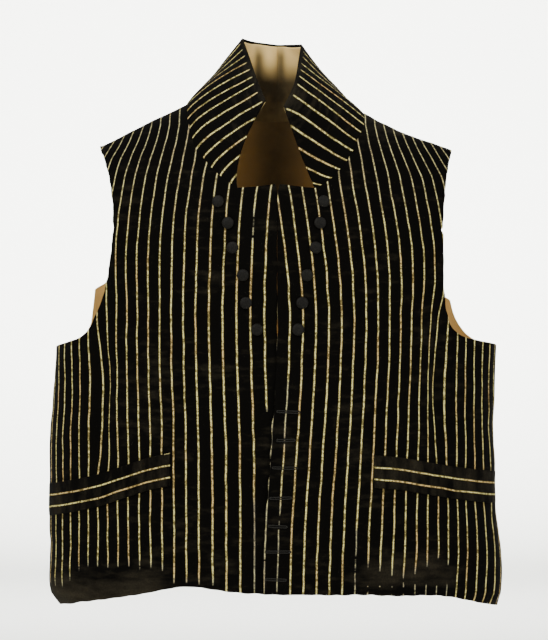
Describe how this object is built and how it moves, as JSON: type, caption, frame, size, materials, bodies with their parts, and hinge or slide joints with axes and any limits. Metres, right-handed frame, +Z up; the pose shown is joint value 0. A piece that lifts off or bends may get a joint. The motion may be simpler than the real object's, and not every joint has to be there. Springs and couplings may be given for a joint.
{
  "type": "waistcoat",
  "caption": "Historic man's waistcoat, filled out and empty: striped velvet fronts, high standing collar, welt pockets, covered buttons, plain cotton back.",
  "frame": {"origin": "midway between the undersides of the two shoulder straps, where a wearer's shoulders carry the waistcoat", "axes": "+Z up, -Y towards the front closure, +X towards the wearer's left"},
  "size_m": [0.4494, 0.2187, 0.5594],
  "materials": {
    "striped_velvet": "near-black cotton or silk velvet with narrow straw-gold stripes, matt with a soft nap",
    "brown_cotton": "plain-weave light brown cotton, matt",
    "button_cloth": "dark cloth stretched over a button mould, matt"
  },
  "bodies": {
    "root": {"front_right": "striped_velvet", "front_left": "striped_velvet", "back": "brown_cotton", "collar": "striped_velvet", "collar_lining": "brown_cotton", "pocket_welt_right": "striped_velvet", "pocket_welt_left": "striped_velvet", "button_right_1": "button_cloth", "button_right_2": "button_cloth", "button_right_3": "button_cloth", "button_right_4": "button_cloth", "button_right_5": "button_cloth", "button_right_6": "button_cloth", "button_left_1": "button_cloth", "button_left_2": "button_cloth", "button_left_3": "button_cloth", "button_left_4": "button_cloth", "button_left_5": "button_cloth", "button_left_6": "button_cloth"}
  },
  "joints": []
}
